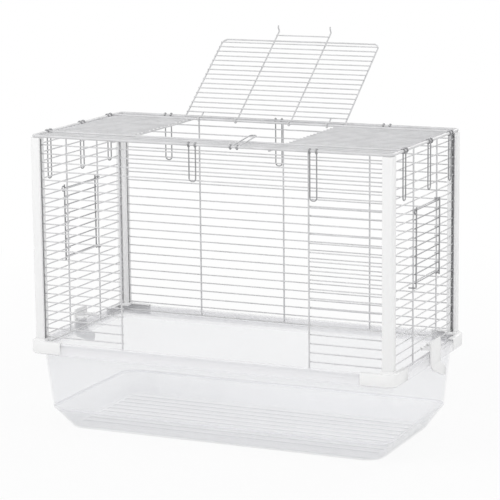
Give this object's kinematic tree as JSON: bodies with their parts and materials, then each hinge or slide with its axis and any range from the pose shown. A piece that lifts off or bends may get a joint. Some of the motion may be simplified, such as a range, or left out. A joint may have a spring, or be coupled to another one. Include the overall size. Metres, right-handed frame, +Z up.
{
  "type": "wire pet cage",
  "caption": "Wire small-pet cage on a clear plastic tray, with corner posts, an open front doorway, an open top lid, side doors, hanging clips and rim latches.",
  "frame": {"origin": "middle of the tray's underside, on the surface the cage stands on", "axes": "+X to the cage's right along its length, +Y from the open front to the back, +Z up"},
  "size_m": [0.6204, 0.4607, 0.6106],
  "materials": {
    "clear_plastic": "clear polished plastic",
    "white_plastic": "white moulded plastic",
    "white_wire": "white coated steel wire"
  },
  "bodies": {
    "cage": {"base_tray": "clear_plastic", "front_panel": "white_wire", "back_panel": "white_wire", "left_panel": "white_wire", "right_panel": "white_wire", "top_panel": "white_wire", "corner_fitting_front_left": "white_plastic", "corner_fitting_front_right": "white_plastic", "corner_fitting_back_left": "white_plastic", "corner_fitting_back_right": "white_plastic", "corner_post_front_left": "white_plastic", "corner_post_front_right": "white_plastic", "corner_post_back_left": "white_plastic", "corner_post_back_right": "white_plastic"},
    "top_lid_body": {"top_lid": "white_wire"},
    "left_door_body": {"left_door": "white_wire"},
    "right_door_body": {"right_door": "white_wire"},
    "left_latch_body": {"left_latch": "white_plastic"},
    "right_latch_body": {"right_latch": "white_plastic"},
    "front_clip_left_body": {"front_clip_left": "white_wire"},
    "front_clip_raised_body": {"front_clip_raised": "white_wire"},
    "front_clip_right_body": {"front_clip_right": "white_wire"},
    "back_clip_left_body": {"back_clip_left": "white_wire"},
    "back_clip_middle_body": {"back_clip_middle": "white_wire"},
    "back_clip_right_body": {"back_clip_right": "white_wire"},
    "right_clip_front_body": {"right_clip_front": "white_wire"},
    "left_clip_front_body": {"left_clip_front": "white_wire"},
    "right_clip_middle_body": {"right_clip_middle": "white_wire"},
    "left_clip_middle_body": {"left_clip_middle": "white_wire"},
    "right_clip_back_body": {"right_clip_back": "white_wire"},
    "left_clip_back_body": {"left_clip_back": "white_wire"}
  },
  "joints": [
    {"name": "top_lid_hinge", "type": "hinge", "parent": "cage", "child": "top_lid_body", "pos_m": [0, 0.12142, 0.47105], "axis": [1, 0, 0], "range_deg": [0, 143.5]},
    {"name": "right_door_hinge", "type": "hinge", "parent": "cage", "child": "right_door_body", "pos_m": [0.294, 0.057, 0.315], "axis": [0, 0, 1], "range_deg": [0, 80]},
    {"name": "left_door_hinge", "type": "hinge", "parent": "cage", "child": "left_door_body", "pos_m": [-0.294, 0.057, 0.315], "axis": [0, 0, -1], "range_deg": [0, 80]},
    {"name": "right_latch_pivot", "type": "hinge", "parent": "cage", "child": "right_latch_body", "pos_m": [0.292, 0.0145, 0.15226], "axis": [0, -1, 0], "range_deg": [0, 45]},
    {"name": "left_latch_pivot", "type": "hinge", "parent": "cage", "child": "left_latch_body", "pos_m": [-0.292, 0.0145, 0.15226], "axis": [0, 1, 0], "range_deg": [0, 45]},
    {"name": "front_clip_left_swing", "type": "hinge", "parent": "cage", "child": "front_clip_left_body", "pos_m": [-0.022, -0.1484, 0.471], "axis": [1, 0, 0], "range_deg": [-260, 0]},
    {"name": "front_clip_raised_swing", "type": "hinge", "parent": "cage", "child": "front_clip_raised_body", "pos_m": [0.047, -0.1484, 0.471], "axis": [1, 0, 0], "range_deg": [0, 264]},
    {"name": "front_clip_right_swing", "type": "hinge", "parent": "cage", "child": "front_clip_right_body", "pos_m": [0.175, -0.1484, 0.471], "axis": [1, 0, 0], "range_deg": [-260, 0]},
    {"name": "back_clip_left_swing", "type": "hinge", "parent": "cage", "child": "back_clip_left_body", "pos_m": [-0.208, 0.1484, 0.471], "axis": [-1, 0, 0], "range_deg": [-260, 0]},
    {"name": "back_clip_middle_swing", "type": "hinge", "parent": "cage", "child": "back_clip_middle_body", "pos_m": [-0.009, 0.1484, 0.471], "axis": [-1, 0, 0], "range_deg": [-120, 0]},
    {"name": "back_clip_right_swing", "type": "hinge", "parent": "cage", "child": "back_clip_right_body", "pos_m": [0.178, 0.1484, 0.471], "axis": [-1, 0, 0], "range_deg": [-260, 0]},
    {"name": "right_clip_front_swing", "type": "hinge", "parent": "cage", "child": "right_clip_front_body", "pos_m": [0.2974, -0.09444, 0.471], "axis": [0, 1, 0], "range_deg": [-260, 0]},
    {"name": "left_clip_front_swing", "type": "hinge", "parent": "cage", "child": "left_clip_front_body", "pos_m": [-0.2974, -0.09444, 0.471], "axis": [0, -1, 0], "range_deg": [-260, 0]},
    {"name": "right_clip_middle_swing", "type": "hinge", "parent": "cage", "child": "right_clip_middle_body", "pos_m": [0.2974, 0.01349, 0.471], "axis": [0, 1, 0], "range_deg": [-260, 0]},
    {"name": "left_clip_middle_swing", "type": "hinge", "parent": "cage", "child": "left_clip_middle_body", "pos_m": [-0.2974, 0.01349, 0.471], "axis": [0, -1, 0], "range_deg": [-260, 0]},
    {"name": "right_clip_back_swing", "type": "hinge", "parent": "cage", "child": "right_clip_back_body", "pos_m": [0.2974, 0.10793, 0.471], "axis": [0, 1, 0], "range_deg": [-260, 0]},
    {"name": "left_clip_back_swing", "type": "hinge", "parent": "cage", "child": "left_clip_back_body", "pos_m": [-0.2974, 0.10793, 0.471], "axis": [0, -1, 0], "range_deg": [-260, 0]}
  ]
}
